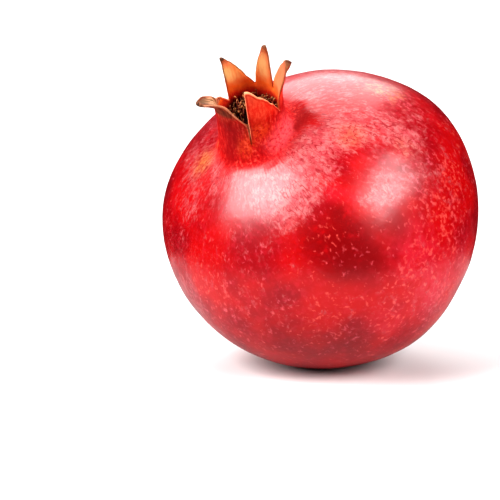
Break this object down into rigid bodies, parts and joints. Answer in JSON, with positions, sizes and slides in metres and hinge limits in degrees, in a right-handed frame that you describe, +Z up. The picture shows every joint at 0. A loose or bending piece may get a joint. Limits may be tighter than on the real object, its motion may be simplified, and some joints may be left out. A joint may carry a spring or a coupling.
{
  "type": "pomegranate",
  "caption": "Whole ripe pomegranate lying on its side: a round leathery body with a bent neck, a crown of pointed calyx lobes, dried stamens and a clipped stalk.",
  "frame": {"origin": "middle of the small flat spot of skin that the fruit rests on", "axes": "+Z up from the resting surface, -Y towards the side that is seen when the crown is at the upper left, +X to the right"},
  "size_m": [0.1044, 0.1029, 0.11],
  "materials": {
    "skin": "leathery red rind with a soft waxy shine, streaked and flecked with yellow and pink, orange on the calyx",
    "dried_stamens": "matte dried plant threads, dark brown with tan anthers",
    "stalk_wood": "matte grey-brown bark with a paler clipped end"
  },
  "bodies": {
    "root": {"fruit": "skin", "stamens": "dried_stamens", "stalk": "stalk_wood"}
  },
  "joints": []
}
